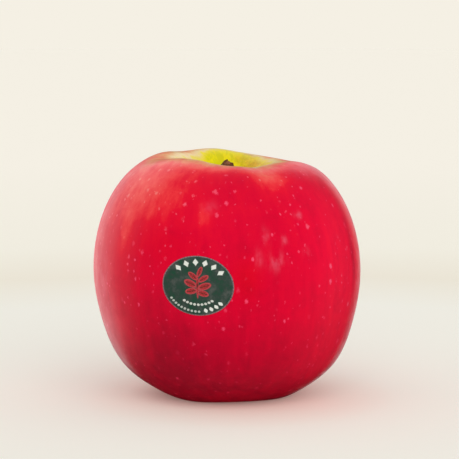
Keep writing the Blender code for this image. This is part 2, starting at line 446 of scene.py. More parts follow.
# Two sizes of lenticel: (radius in mm, spacing in mm, greatest strength, least amount anywhere).
LENTICEL_LAYERS = ((0.82, 2.9, 0.95, 0.0), (0.46, 1.7, 0.75, 0.40))
FULL_BLUSH = 0.79
# Deeper red towards the base: partly the fruit's own colour, partly painted shade on its lower side.
BASE_DEEPENING_AND_SHADE = 0.17
BASIN_PALING = 0.66
# How far the noise moves the blush, by the blush itself: least on bare ground and full red.
BLUSH_SWING = ((0.0, grey(0.3)), (0.2, grey(1.3)), (0.55, grey(1.0)), (0.8, grey(0.52)))
# Where the blush begins round the stem cavity, and how softly: (azimuth, share, softness).
BLUSH_EDGE = (
    (-180, 0.188, 1.0),
    (-165, 0.176, 1.3),
    (-150, 0.158, 1.8),
    (-136, 0.136, 2.2),
    (-115, 0.137, 2.1),
    (-98, 0.152, 1.8),
    (-60, 0.165, 1.1),
    (0, 0.170, 1.0),
    (22, 0.172, 1.0),
    (60, 0.163, 1.0),
    (120, 0.162, 1.2),
    (140, 0.164, 1.5),
    (155, 0.182, 1.2),
    (180, 0.188, 1.0),
)
# Places where the blush is thinner or, below nought, deeper:
# (azimuth, share, half-width in mm, half-length in mm, amount). The thinner patch on the left flank,
# at -82, is painted light where the lamps leave that side dim, and the deeper patches low on the
# front, at shares 0.60 and 0.62, are partly painted shade.
BLUSH_AND_PAINTED_LIGHT_SPOTS = (
    (-42, 0.270, 15.0, 9.0, 0.16),
    (-62, 0.330, 8.0, 13.0, 0.12),
    (-50, 0.380, 2.6, 8.0, 0.14),
    (-82, 0.450, 7.0, 20.0, 0.14),
    (-36, 0.345, 9.0, 8.0, 0.09),
    (-10, 0.352, 2.4, 4.2, 0.13),
    (-14, 0.212, 10.0, 3.0, 0.08),
    (-1, 0.222, 11.0, 3.4, 0.08),
    (-75, 0.235, 10.0, 5.0, 0.14),
    (-30, 0.620, 13.0, 14.0, -0.13),
    (12, 0.600, 19.0, 14.0, -0.05),
    (54, 0.690, 10.0, 9.0, 0.10),
    (26, 0.250, 5.6, 5.6, 0.24),
    (54, 0.215, 8.0, 3.5, 0.06),
    (78, 0.420, 3.0, 16.0, 0.10),
    (67, 0.457, 1.4, 10.0, -0.12),
    (150, 0.400, 17.0, 22.0, 0.24),
    (-150, 0.350, 16.0, 15.0, 0.20),
    (-170, 0.560, 12.0, 16.0, 0.14),
)
# Places where the red is purer or, below nought, pinker and brighter: the same columns as above. The
# brighter patch on the left flank, at -92, is painted light where the lamps leave that side dim.
HUE_AND_PAINTED_LIGHT_SPOTS = (
    (8, 0.480, 6.0, 8.0, 0.5),
    (-25, 0.420, 12.0, 7.0, 0.3),
    (60, 0.430, 20.0, 26.0, -0.75),
    (-92, 0.450, 11.0, 28.0, -0.8),
)
# Pale pink blotches, which the material makes ragged: the same columns.
PALE_SPOTS = (
    (21, 0.447, 2.3, 2.2, 0.62),
    (13, 0.440, 0.9, 2.2, 0.45),
    (17, 0.395, 1.3, 2.4, 0.35),
    (25, 0.402, 0.9, 1.3, 0.60),
    (35, 0.430, 1.0, 1.3, 0.50),
    (35, 0.350, 1.3, 1.0, 0.60),
    (-66, 0.500, 5.0, 9.0, 0.22),
    (-8, 0.330, 2.0, 2.0, 0.25),
    (54, 0.225, 7.0, 4.0, 0.22),
    (110, 0.420, 7.0, 9.0, 0.35),
    (-120, 0.520, 6.0, 8.0, 0.25),
)
# Golden russet inside the stem cavity: the same columns.
RUSSET_SPOTS = (
    (150, 0.140, 7.0, 3.2, 0.55),
    (125, 0.120, 6.0, 4.0, 0.45),
    (95, 0.110, 5.0, 5.0, 0.50),
    (150, 0.115, 1.3, 0.9, 0.80),
    (156, 0.172, 2.0, 0.7, 0.60),
    (-90, 0.080, 4.0, 4.0, 0.35),
    (0, 0.070, 4.0, 3.0, 0.40),
)


def wrapped(angle):
    """An angle in degrees brought between -180 and 180."""
    return (angle + 180.0) % 360.0 - 180.0


def spot_weight(share, azimuth, at, where, half_width, half_length):
    """A soft oval patch on the skin: 1 at its middle."""
    radius, _ = meridian(share)
    across = wrapped(np.degrees(azimuth) - at) * math.pi / 180 * radius / half_width
    along = (share - where) * OUTLINE_LENGTH / half_length
    return np.exp(-(across**2) - along**2)


def spots(share, azimuth, table):
    """The sum of a table's patches, each times its amount."""
    return sum(amount * spot_weight(share, azimuth, *spot) for *spot, amount in table)


def blush_of(share, azimuth):
    """How red the skin is, from 0 to 1, before the fine mottling. It also carries painted shade low on the
    fruit and painted light on its left flank.
    """
    around, begins, softness = np.array(BLUSH_EDGE).T
    degrees = wrapped(np.degrees(azimuth))
    inside = (share - np.interp(degrees, around, begins)) / np.interp(degrees, around, softness)
    blush = FULL_BLUSH * smooth_step(-0.035, 0.075, inside)
    # Deeper red towards the base, partly painted shade.
    blush = blush + BASE_DEEPENING_AND_SHADE * smooth_step(0.56, 0.76, share)
    blush = blush - BASIN_PALING * smooth_step(0.85, 0.95, share)
    # Patches of thinner or deeper blush, among them painted light on the left flank and painted shade low
    # on the front.
    blush = blush - spots(share, azimuth, BLUSH_AND_PAINTED_LIGHT_SPOTS) * smooth_step(0.1, 0.5, blush)
    return np.clip(blush, 0.0, 1.0)


def noise_place(share, azimuth):
    """Where the skin's noise is read: turned about the axis, and up by the outline's length, so
    that marks keep their size inside the cavity."""
    radius, _ = meridian(share)
    spread = 10.0 + 0.74 * radius
    place = (spread * np.sin(azimuth), -spread * np.cos(azimuth), share * OUTLINE_LENGTH)
    return np.column_stack(place)


def flecks_of(share):
    """How many lenticels show: most on the shoulder, fewer below and in the cavity."""
    shown = smooth_step(0.17, 0.27, share) * (1.0 - 0.5 * smooth_step(0.46, 0.66, share))
    return 0.2 + 0.8 * shown


def skin_material():
    """Mottled and faintly streaked blush over yellow-green, with pale lenticels and a wax sheen."""
    n = Nodes("apple_skin", Specular_Tint=WAX_TINT)
    turn = n.attribute("turn", "Vector")
    along = n.vector("MULTIPLY", turn, (1.0, 1.0, 0.07))

    patches = n.noise(turn, 0.05, detail=3.0, roughness=0.55).outputs["Fac"]
    mottle = n.noise(turn, 0.19, detail=5.0, roughness=0.6, distortion=0.6).outputs["Fac"]
    streaks = n.noise(along, 0.36, detail=4.0, roughness=0.55, distortion=0.3).outputs["Fac"]
    grain = n.noise(turn, 2.0, detail=3.0, roughness=0.6).outputs["Fac"]
    uneven = 0.0
    for layer, weight in ((patches, 0.16), (mottle, 0.24), (streaks, 0.24), (grain, 0.05)):
        uneven = n.math("MULTIPLY_ADD", n.math("SUBTRACT", layer, 0.5), weight, uneven)
    blush = n.attribute("blush")
    blush = n.math("MULTIPLY_ADD", uneven, n.ramp(blush, BLUSH_SWING), blush)
    skin = n.ramp(blush, BLUSH_RAMP)
    green = n.math("MULTIPLY", n.fade(blush, 0.15, 0.04), n.fade(streaks, 0.42, 0.62, 0.0, 0.55))
    skin = n.mix(green, skin, srgb(206, 212, 14))
    hue_and_painted_light = n.attribute("hue_and_painted_light")
    skin = n.mix(n.fade(hue_and_painted_light, 0.0, 0.8), skin, PURER_RED, "MULTIPLY")
    # Pinker and brighter where the hue map is below nought: on the left flank this is painted light.
    skin = n.mix(n.fade(hue_and_painted_light, 0.0, -0.8), skin, PINKER_RED_AND_PAINTED_LIGHT, "MULTIPLY")

    smear = n.vector("MULTIPLY", turn, (1.0, 1.0, 0.5))
    ragged = n.noise(smear, 0.42, detail=4.0, roughness=0.55, distortion=0.25).outputs["Fac"]
    pale = n.math("MULTIPLY", n.attribute("pale"), n.fade(ragged, 0.36, 0.66))
    skin = n.mix(pale, skin, srgb(240, 100, 128))
    rough = n.math("MULTIPLY", n.attribute("russet"), n.fade(mottle, 0.35, 0.6, 0.5, 1.0))
    skin = n.mix(rough, skin, n.ramp(grain, ((0.35, srgb(176, 120, 8)), (0.6, srgb(226, 158, 20)))))

    dots = lenticels(n, turn)
    colour = n.mix(dots, skin, n.ramp(blush, LENTICEL_RAMP))
    n.put(n.shader.inputs["Base Color"], colour)
    n.put(n.shader.inputs["Roughness"], n.fade(mottle, 0.25, 0.75, 0.33, 0.43))
    relief = n.math("MULTIPLY_ADD", dots, 0.6, n.math("MULTIPLY", grain, 0.3))
    n.bump(relief, 0.00004)
    return n.material


def lenticels(n, turn):
    """A mask of pale dots of many sizes and strengths, longer than wide and ragged at the edge."""
    wobble = n.noise(turn, 1.4, detail=2.0).outputs["Color"]
    wobble = n.vector("SUBTRACT", wobble, (0.5, 0.5, 0.5))
    amount = n.attribute("flecks")
    mask = None
    for radius, spacing, reach, even in LENTICEL_LAYERS:
        place = n.vector("MULTIPLY", n.vector("ADD", turn, wobble), (1.0, 1.0, 0.74))
        cells = n.add("TexVoronoi", Vector=place, Scale=1 / spacing, Randomness=1.0)
        chance = n.add("SeparateColor", Color=cells.outputs["Color"])
        away = n.math("MULTIPLY", cells.outputs["Distance"], spacing)
        limit = n.math("MULTIPLY", n.fade(chance.outputs["Red"], 0.0, 1.0, 0.45, 1.0), radius)
        here = n.math("MAXIMUM", amount, even)
        strength = n.fade(n.math("MULTIPLY", chance.outputs["Green"], here), 0.12, 0.85, 0.0, reach)
        dot = n.math("MULTIPLY", n.fade(n.math("DIVIDE", away, limit), 1.0, 0.25), strength)
        mask = dot if mask is None else n.math("MAXIMUM", mask, dot)
    return mask


def make_fruit():
    """Rings of points from the cavity's floor to the eye, closed by one point at each."""
    shares = np.linspace(0.0, 1.0, FRUIT_ROWS + 2)[1:-1]
    azimuths = np.linspace(0.0, TURN, FRUIT_SEGMENTS, endpoint=False)
    share, azimuth = (grid.ravel() for grid in np.meshgrid(shares, azimuths, indexing="ij"))
    share = np.concatenate([share, [0.0, 1.0]])
    azimuth = np.concatenate([azimuth, [0.0, 0.0]])
    faces = grid_faces(FRUIT_ROWS, FRUIT_SEGMENTS)
    top, bottom = len(share) - 2, len(share) - 1
    last = (FRUIT_ROWS - 1) * FRUIT_SEGMENTS
    for i in range(FRUIT_SEGMENTS):
        j = (i + 1) % FRUIT_SEGMENTS
        faces.append((top, i, j))
        faces.append((last + i, bottom, last + j))
    fruit = add_mesh("fine_fruit", skin_point(share, azimuth), faces, skin_material())
    set_attribute(fruit, "turn", noise_place(share, azimuth))
    set_attribute(fruit, "blush", blush_of(share, azimuth))
    # Hue changes, with painted light on the left flank.
    set_attribute(fruit, "hue_and_painted_light", spots(share, azimuth, HUE_AND_PAINTED_LIGHT_SPOTS))
    set_attribute(fruit, "pale", spots(share, azimuth, PALE_SPOTS))
    set_attribute(fruit, "russet", spots(share, azimuth, RUSSET_SPOTS))
    set_attribute(fruit, "flecks", flecks_of(share))
    unroll(fruit)
    finish_piece(fruit, "apple_body")


def unroll(fruit):
    """Lays the skin out for textures: once round across, the outline's length up."""
    round_it = np.arange(FRUIT_SEGMENTS) / FRUIT_SEGMENTS
    next_one = round_it + 1 / FRUIT_SEGMENTS
    level = np.linspace(1.0, 0.0, FRUIT_ROWS + 2)
    corners = []
    for row in range(1, FRUIT_ROWS):
        above, below = np.full(FRUIT_SEGMENTS, level[row]), np.full(FRUIT_SEGMENTS, level[row + 1])
        quad = (round_it, above, round_it, below, next_one, below, next_one, above)
        corners.append(np.column_stack(quad).ravel())
    middle = (round_it + next_one) / 2
    top, first = np.full(FRUIT_SEGMENTS, level[0]), np.full(FRUIT_SEGMENTS, level[1])
    last, bottom = np.full(FRUIT_SEGMENTS, level[-2]), np.full(FRUIT_SEGMENTS, level[-1])
    caps = (middle, top, round_it, first, next_one, first)
    caps += (round_it, last, middle, bottom, next_one, last)
    corners.append(np.column_stack(caps).ravel())
    fruit.data.uv_layers.new(name="OFBake").data.foreach_set("uv", np.concatenate(corners))


# ---------------------------------------------------------------- the stem

# (height, radius, sideways, front to back) of the stem from its root to its broken end.
STEM_RINGS = (
    (55.9, 1.35, 0.0, 0.0),
    (56.8, 1.15, 0.0, 0.1),
    (59.2, 0.95, -0.2, 0.4),
    (62.2, 0.90, -0.5, 0.6),
    (64.8, 0.95, -0.5, 0.5),
    (66.5, 1.30, -0.2, 0.2),
    (67.6, 1.85, 0.0, 0.0),
    (68.2, 2.00, 0.1, 0.0),
)
STEM_ROWS = 90
STEM_SEGMENTS = 72
BREAK_ROWS = 14
BREAK_DEPTH_ROWS = 16
BREAK_RISE = 0.25
BREAK_BACKWARD = 0.45
BREAK_SIDEWAYS = 0.05
BREAK_SHOULDERS = 0.42
BREAK_ROUGHNESS = 0.5
BARK_RIDGES = 11


def stem_rings():
    """Fine rings up the ridged bark, then inwards over the splintered end."""
    heights, *measures = np.array(STEM_RINGS).T
    columns = [(values, spline_bends(heights, values, 0.0, 0.0)) for values in measures]
    angles = np.linspace(0.0, TURN, STEM_SEGMENTS, endpoint=False)
    centre = skin_point(0.0, 0.0)
    rings = []
    for height in np.linspace(heights[0], heights[-1], STEM_ROWS):
        radius, sideways, backwards = (spline_values(heights, v, b, height) for v, b in columns)
        ridge = 1.0 + 0.05 * np.sin(BARK_RIDGES * angles + 0.22 * height)
        ridge = ridge + 0.03 * np.sin(5 * angles - 0.4 * height)
        x = centre[0] + sideways + radius * ridge * np.cos(angles)
        y = centre[1] + backwards + radius * ridge * np.sin(angles)
        rings.append(np.column_stack([x, y, np.full(STEM_SEGMENTS, height)]))
    middle = rings[-1].mean(axis=0)
    rim = rings[-1] - middle
    for inward in np.linspace(0.0, 1.0, BREAK_ROWS, endpoint=False)[1:]:
        rise = BREAK_RISE * math.sin(inward * math.pi / 2)
        rings.append(middle + rim * (1.0 - inward) + np.array([0.0, 0.0, rise]))
    return np.array(rings)


def make_stem():
    """The stem, with its end pulled to a splintered slant that shows the front of the break."""
    rings = stem_rings()
    points, faces = loft(rings)
    shape = rings.shape[:2]
    row = np.append(np.repeat(np.arange(shape[0]), shape[1]), [0, shape[0]])
    end = smooth_step(STEM_ROWS - BREAK_DEPTH_ROWS, STEM_ROWS + 1, row.astype(float))
    middle = rings[STEM_ROWS - 1].mean(axis=0)
    local = points - middle
    points[:, 2] += end * (BREAK_BACKWARD * local[:, 1] + BREAK_SIDEWAYS * local[:, 0])
    points[:, 2] -= end * BREAK_SHOULDERS * np.abs(local[:, 0])
    points[:, 2] += end * BREAK_ROUGHNESS * bumps(points * (1, 1, 0.3), 0.7, 3.1)
    points[:, :2] += local[:, :2] * 0.10 * bumps(points * (1, 1, 0.35), 0.9, 7.7)[:, None]
    stem = add_mesh("fine_stem", points, faces, stem_material())
    set_attribute(stem, "pith", smooth_step(STEM_ROWS + 4, STEM_ROWS + 9, row.astype(float)))
    set_attribute(stem, "age", smooth_step(57.0, 66.0, points[:, 2]))
    finish_piece(stem, "stem")


def stem_material():
    """Woody bark, olive at the root and dark brown at the end, round a pale splintered pith."""
    n = Nodes("stem_wood", Specular_IOR_Level=0.3)
    place = millimetres(n)
    grain = n.noise(n.vector("MULTIPLY", place, (1.0, 1.0, 0.25)), 2.6, detail=5.0, roughness=0.65)
    fibres = n.noise(n.vector("MULTIPLY", place, (1.0, 1.0, 0.12)), 6.0, detail=3.0).outputs["Fac"]
    patch = grain.outputs["Fac"]
    young = n.ramp(patch, ((0.3, srgb(112, 92, 34)), (0.55, srgb(150, 122, 52)), (0.75, srgb(92, 60, 28))))
    old = n.ramp(patch, ((0.3, srgb(52, 22, 4)), (0.5, srgb(96, 48, 10)), (0.7, srgb(140, 92, 30))))
    bark = n.mix(n.attribute("age"), young, old)
    pith = n.ramp(fibres, ((0.3, srgb(80, 38, 18)), (0.5, srgb(150, 90, 54)), (0.72, srgb(206, 148, 110))))
    n.put(n.shader.inputs["Base Color"], n.mix(n.attribute("pith"), bark, pith))
    n.put(n.shader.inputs["Roughness"], n.fade(patch, 0.3, 0.7, 0.62, 0.85))
    n.bump(n.math("ADD", patch, n.math("MULTIPLY", fibres, 0.5)), 0.0002)
    return n.material


# ---------------------------------------------------------------- the calyx

SEPAL_ROOT_RADIUS = 3.6
SEPAL_LENGTH = 6.4
SEPAL_WIDTH = 3.9
SEPAL_THICKNESS = 0.28
SEPAL_RINGS = 48
SEPAL_SEGMENTS = 28
SEPAL_START_TILT = 8.0
SEPAL_CURL = (62.0, 38.0, 75.0, 30.0, 54.0)
SEPAL_TURN = 14.0
SEPAL_CUP = 0.5
FILAMENT_COUNT = 26
FILAMENT_RINGS = 12
FILAMENT_SIDES = 7
FILAMENT_RADIUS = 0.11
FILAMENT_LENGTHS = (2.6, 1.9, 3.0, 2.2, 2.8, 1.7, 2.4, 3.1, 2.0, 2.7)
TUFT_RADIUS = 1.8
TUFT_TOP = 8.7
TUFT_FLOOR = 8.2
TUFT_SEGMENTS = 40
# (share of the tuft's radius, height) of its floor, from the middle of its top to its underside.
TUFT_PROFILE = (
    (0.05, TUFT_TOP),
    (0.90, TUFT_TOP),
    (1.00, 8.5),
    (0.95, 8.3),
    (0.60, TUFT_FLOOR),
    (0.20, 8.1),
    (0.05, 8.05),
)
GOLDEN_TURN = 0.382 * TURN
STYLE_COUNT = 5
STYLE_CIRCLE = 0.28
STYLE_LENGTH = 3.0


def basin_height(radius, azimuth):
    """Height of the calyx basin's wall at a distance from the axis."""
    shares = np.linspace(0.88, 1.0, 241)
    radii, _ = meridian(shares)
    return skin_point(np.interp(radius, radii[::-1], shares[::-1]), azimuth)[2]


def sepal_rings(azimuth, curl, seed):
    """Rings along a cupped, crumpled tongue that drops from the basin wall and curls outwards."""
    across = np.array([math.cos(azimuth), math.sin(azimuth), 0.0])
    outwards = np.array([math.sin(azimuth), -math.cos(azimuth), 0.0])
    eye = skin_point(1.0, 0.0)
    place = np.array([eye[0], eye[1], 0.0]) + SEPAL_ROOT_RADIUS * outwards
    place[2] = basin_height(SEPAL_ROOT_RADIUS, azimuth) - SEPAL_THICKNESS
    angles = np.linspace(0.0, TURN, SEPAL_SEGMENTS, endpoint=False)
    rings = []
    for i in range(SEPAL_RINGS + 1):
        share = i / SEPAL_RINGS
        tilt = math.radians(SEPAL_START_TILT + curl * share**1.3)
        along = math.sin(tilt) * outwards - math.cos(tilt) * np.array([0.0, 0.0, 1.0])
        through = np.cross(along, across)
        half_width = SEPAL_WIDTH / 2 * (0.06 + 0.94 * (1 - share**1.25) ** 0.8)
        crumple = 0.2 * math.sin(9 * share + seed) * share
        side = np.cos(angles)
        cup = SEPAL_CUP * half_width * (side**2 - 0.4) + crumple * np.sin(3.1 * side + seed)
        thick = SEPAL_THICKNESS / 2 * (1.0 - 0.5 * share) * np.sin(angles)
        rings.append(place + np.outer(half_width * side, across) + np.outer(thick + cup, through))
        place = place + SEPAL_LENGTH / SEPAL_RINGS * along
    return np.array(rings)


def make_sepals(material):
    for i, curl in enumerate(SEPAL_CURL):
        azimuth = TURN * i / len(SEPAL_CURL) + math.radians(SEPAL_TURN)
        points, faces = loft(sepal_rings(azimuth, curl, 1.7 * i))
        points = points + 0.2 * bumps(points, 0.9, 11.0 + i)[:, None]
        sepal = add_mesh(f"fine_sepal_{i + 1}", points, faces, material)
        finish_piece(sepal, f"sepal_{i + 1}")


def filament(base, lean, length, radius, knob):
    """A thin bent hair that hangs from base, with a swollen end."""
    angles = np.linspace(0.0, TURN, FILAMENT_SIDES, endpoint=False)
    rings = []
    for t in np.linspace(0.0, 1.0, FILAMENT_RINGS):
        centre = base + np.array([lean[0] * t**1.6, lean[1] * t**1.6, -length * t])
        swell = 1.0 - 0.35 * t + knob * math.exp(-(((t - 0.93) / 0.06) ** 2))
        ring = np.column_stack([np.cos(angles), np.sin(angles), np.zeros(FILAMENT_SIDES)])
        rings.append(centre + radius * swell * ring)
    return loft(rings)


def make_stamens(material):
    """A floor of dried tissue in the eye, with rings of stamens and a few styles hanging from it."""
    eye = skin_point(1.0, 0.0)
    middle = np.array([eye[0], eye[1], 0.0])
    angles = np.linspace(0.0, TURN, TUFT_SEGMENTS, endpoint=False)
    wavy = 1.0 + 0.06 * np.sin(9 * angles)
    rings = []
    for share, height in TUFT_PROFILE:
        radius = TUFT_RADIUS * share * wavy
        level = np.full(TUFT_SEGMENTS, height)
        rings.append(middle + np.column_stack([radius * np.cos(angles), radius * np.sin(angles), level]))
    parts = [loft(rings)]
    for i in range(FILAMENT_COUNT):
        turn = GOLDEN_TURN * i
        radius = TUFT_RADIUS * (0.35 + 0.55 * ((i * 7) % FILAMENT_COUNT) / FILAMENT_COUNT)
        outwards = np.array([math.cos(turn), math.sin(turn)])
        base = middle + np.array([*(radius * outwards), TUFT_FLOOR + 0.1])
        lean = outwards * (0.15 + 0.35 * math.sin(3.7 * i) ** 2)
        length = FILAMENT_LENGTHS[i % len(FILAMENT_LENGTHS)]
        parts.append(filament(base, lean, length, FILAMENT_RADIUS, 1.3))
    for i in range(STYLE_COUNT):
        turn = TURN * i / STYLE_COUNT
        outwards = np.array([math.cos(turn), math.sin(turn)])
        base = middle + np.array([*(STYLE_CIRCLE * outwards), TUFT_FLOOR + 0.1])
        parts.append(filament(base, 0.1 * outwards, STYLE_LENGTH, 1.3 * FILAMENT_RADIUS, 0.4))
    points, faces = joined(parts)
    points = points + 0.05 * bumps(points, 0.6, 5.0)[:, None]
    stamens = add_mesh("fine_stamens", points, faces, material)
    finish_piece(stamens, "stamen_tuft")


def dried_material(name, dark, middle, pale):
    """Papery dead tissue, mottled and veined."""
    n = Nodes(name, Specular_IOR_Level=0.25)
    place = millimetres(n)
    mottle = n.noise(place, 1.1, detail=5.0, roughness=0.65, distortion=0.5).outputs["Fac"]
    veins = n.noise(n.vector("MULTIPLY", place, (1.0, 1.0, 0.3)), 4.0, detail=3.0).outputs["Fac"]
    mixed = n.math("ADD", n.math("MULTIPLY", mottle, 0.65), n.math("MULTIPLY", veins, 0.35))
    colour = n.ramp(mixed, ((0.36, dark), (0.5, middle), (0.64, pale)))
    n.put(n.shader.inputs["Base Color"], colour)
    n.put(n.shader.inputs["Roughness"], n.fade(mottle, 0.3, 0.7, 0.75, 0.92))
    n.bump(mixed, 0.0002)
    return n.material


def make_calyx():
    tan = srgb(74, 52, 30), srgb(128, 104, 66), srgb(178, 160, 118)
    brown = srgb(40, 26, 14), srgb(84, 58, 32), srgb(130, 100, 62)
    make_sepals(dried_material("dried_calyx", *tan))
    make_stamens(dried_material("dried_stamens", *brown))


# ---------------------------------------------------------------- the label

LABEL_WIDTH = 20.5
LABEL_HEIGHT = 16.7
LABEL_THICKNESS = 0.08
LABEL_GAP = 0.03
LABEL_AZIMUTH = -12.4
LABEL_SHARE = 0.495
LABEL_ROLL = -3.5
LABEL_RINGS = 30
LABEL_SEGMENTS = 128
# The printed sprig: (across, up, half-length, half-width, turn) of its leaves and, last, of its
# stalk, in millimetres and degrees.
SPRIG_LEAVES = (
    (0.4, 4.0, 1.5, 0.62, 70),
    (-1.4, 2.7, 1.6, 0.72, 145),
    (1.6, 2.2, 1.6, 0.72, 34),
    (-2.0, 0.6, 1.9, 0.95, 160),
    (2.0, 0.1, 1.9, 0.95, 20),
    (-1.7, -1.5, 1.7, 0.85, 192),
    (1.7, -1.9, 1.6, 0.85, -12),
    (0.0, 0.2, 0.34, 3.6, 4),
)
# Arcs of printed marks: (middle, span, count, reach, (half-width, half-height), power, strength).
LABEL_ARCS = (
    (3, 116, 6, 0.785, (0.66, 0.98), 1.0, 1.0),
    (176, 86, 9, 0.62, (0.33, 0.36), 2.0, 0.8),
    (-154, 68, 10, 0.86, (0.30, 0.34), 2.0, 0.6),
    (146, 44, 4, 0.84, (0.46, 0.66), 1.4, 1.0),
)


def label_point(across, up, lift):
    """A point of the label, laid over the skin at a distance across and up from its middle."""
    roll = math.radians(LABEL_ROLL)
    level = across * math.cos(roll) - up * math.sin(roll)
    rise = across * math.sin(roll) + up * math.cos(roll)
    share = LABEL_SHARE - rise / OUTLINE_LENGTH
    radius, _ = meridian(share)
    azimuth = math.radians(LABEL_AZIMUTH) + level / radius
    return skin_point(share, azimuth) + lift * skin_normal(share, azimuth)


def make_label():
    """A thin oval film whose two faces meet at its rim."""
    angles = np.linspace(0.0, TURN, LABEL_SEGMENTS, endpoint=False)
    sizes = np.linspace(0.0, 1.0, LABEL_RINGS + 1)[1:]
    size, angle = (grid.ravel() for grid in np.meshgrid(sizes, angles, indexing="ij"))
    across = np.append(size * LABEL_WIDTH / 2 * np.cos(angle), 0.0)
    up = np.append(size * LABEL_HEIGHT / 2 * np.sin(angle), 0.0)
    rounding = np.append(np.where(size > 0.999, 0.35, 1.0), 1.0)
    outer = label_point(across, up, (LABEL_GAP + LABEL_THICKNESS * rounding)[:, None])
    inner = label_point(across, up, LABEL_GAP)
    faces = []
    count = len(outer)
    for first, flip in ((0, False), (count, True)):
        side = grid_faces(LABEL_RINGS, LABEL_SEGMENTS, first)
        middle = first + count - 1
        side += [(middle, first + i, first + (i + 1) % LABEL_SEGMENTS) for i in range(LABEL_SEGMENTS)]
        faces += [face[::-1] for face in side] if flip else side
    rim = (LABEL_RINGS - 1) * LABEL_SEGMENTS
    for i in range(LABEL_SEGMENTS):
        j = (i + 1) % LABEL_SEGMENTS
        faces.append((rim + i, count + rim + i, count + rim + j, rim + j))
    label = add_mesh("fine_label", np.vstack([outer, inner]), faces, label_material())
    printed = np.column_stack([across, up, np.zeros(count)])
    set_attribute(label, "print", np.vstack([printed, printed]))
    finish_piece(label, "label")


def printed_arc(n, oval, middle, span, count, reach, size, power):
    """A mask of equal marks on an arc. Its middle is an angle from the label's top, and reach
    is a share of the way from the label's middle to its rim."""
    turned = n.add("VectorRotate", {"rotation_type": "Z_AXIS"}, Vector=oval, Angle=math.radians(middle))
    parts = n.add("SeparateXYZ", Vector=turned.outputs["Vector"]).outputs
    angle = n.math("ARCTAN2", parts["X"], parts["Y"])
    pitch = math.radians(span) / count
    cell = n.math("ADD", n.math("DIVIDE", angle, pitch), 0.5 * (count % 2))
    along = n.math("SUBTRACT", n.math("FRACT", cell), 0.5)
    along = n.math("MULTIPLY", along, pitch * reach * LABEL_HEIGHT / 2)
    away = n.math("SUBTRACT", n.length(oval), reach)
    wide = n.math("ABSOLUTE", n.math("DIVIDE", along, size[0]))
    tall = n.math("ABSOLUTE", n.math("DIVIDE", n.math("MULTIPLY", away, LABEL_HEIGHT / 2), size[1]))
    total = n.math("ADD", n.math("POWER", wide, power), n.math("POWER", tall, power))
    inside = n.math("LESS_THAN", n.math("ABSOLUTE", angle), math.radians(span) / 2)
    return n.math("MULTIPLY", n.fade(total, 1.15, 0.8), inside)


def printed_leaf(n, place, across, up, half_length, half_width, turn):
    """Masks of one leaf, lying along its turn: all of it, its edge and its vein."""
    away = n.vector("SUBTRACT", place, (across, up, 0.0))
    turned = n.add("VectorRotate", {"rotation_type": "Z_AXIS"}, Vector=away, Angle=-math.radians(turn))
    flat = n.vector("MULTIPLY", turned.outputs["Vector"], (1 / half_length, 1 / half_width, 0.0))
    size = n.length(flat)
    leaf = n.fade(size, 1.1, 0.9)
    side = n.math("ABSOLUTE", n.add("SeparateXYZ", Vector=flat).outputs["Y"])
    vein = n.math("MULTIPLY", n.fade(side, 0.22, 0.06), n.fade(size, 0.85, 0.7))
    return leaf, n.math("MULTIPLY", leaf, n.fade(size, 0.62, 0.82)), vein


def label_material():
    """Dark green printed film: a fine pale border, white marks in four arcs and a red sprig."""
    n = Nodes("label_film")
    place = n.attribute("print", "Vector")
    oval = n.vector("MULTIPLY", place, (2 / LABEL_WIDTH, 2 / LABEL_HEIGHT, 0.0))
    worn = n.noise(place, 0.35, detail=4.0, roughness=0.6).outputs["Fac"]
    fine = n.noise(place, 3.5, detail=3.0).outputs["Fac"]
    patchy = n.math("MULTIPLY_ADD", n.math("SUBTRACT", fine, 0.5), 0.25, worn)
    colour = n.ramp(patchy, ((0.32, srgb(26, 82, 58)), (0.5, srgb(50, 74, 64)), (0.68, srgb(82, 90, 84))))
    reach = n.length(oval)
    speckled = n.fade(n.noise(place, 2.2).outputs["Fac"], 0.35, 0.6, 0.35, 0.95)
    colour = n.mix(n.math("MULTIPLY", n.fade(reach, 0.958, 0.972), speckled), colour, srgb(150, 120, 130))

    masks = None
    for leaf in SPRIG_LEAVES:
        found = printed_leaf(n, place, *leaf)
        masks = found if masks is None else [n.math("MAXIMUM", *pair) for pair in zip(masks, found)]
    leaves, edges, veins = masks
    red = n.ramp(fine, ((0.35, srgb(132, 20, 28)), (0.5, srgb(178, 28, 38)), (0.68, srgb(204, 66, 60))))
    colour = n.mix(leaves, colour, red)
    colour = n.mix(n.math("MULTIPLY", edges, 0.5), colour, srgb(214, 78, 90))
    colour = n.mix(n.math("MULTIPLY", veins, 0.7), colour, srgb(60, 44, 36))

    ink = n.fade(fine, 0.25, 0.5, 0.7, 1.0)
    for *arc, strength in LABEL_ARCS:
        mask = n.math("MULTIPLY", n.math("MULTIPLY", printed_arc(n, oval, *arc), ink), strength)
        colour = n.mix(mask, colour, srgb(236, 240, 232))
    n.put(n.shader.inputs["Base Color"], colour)
    n.put(n.shader.inputs["Roughness"], n.fade(worn, 0.3, 0.7, 0.36, 0.5))
    n.bump(n.math("ADD", worn, n.math("MULTIPLY", fine, 0.12)), 0.00012)
    return n.material


# ---------------------------------------------------------------- stage, light and camera

FLOOR_RADIUS = 6.0
FLOOR_SIDES = 96
# The floor's tone by the distance in metres from a spot a little right of the fruit's middle and
# before it; the warmer, pinker tone near the fruit is painted red bounce light from the fruit.
BOUNCE_MIDDLE = (0.003, -0.005, 0.0)
FLOOR_TONES_AND_BOUNCE = (
    (0.016, srgb(244, 224, 212)),
    (0.048, srgb(240, 238, 228)),
    (0.190, srgb(238, 236, 226)),
    (0.27, srgb(235, 229, 214)),
    (0.38, srgb(241, 237, 224)),
    (0.90, srgb(245, 240, 228)),
)
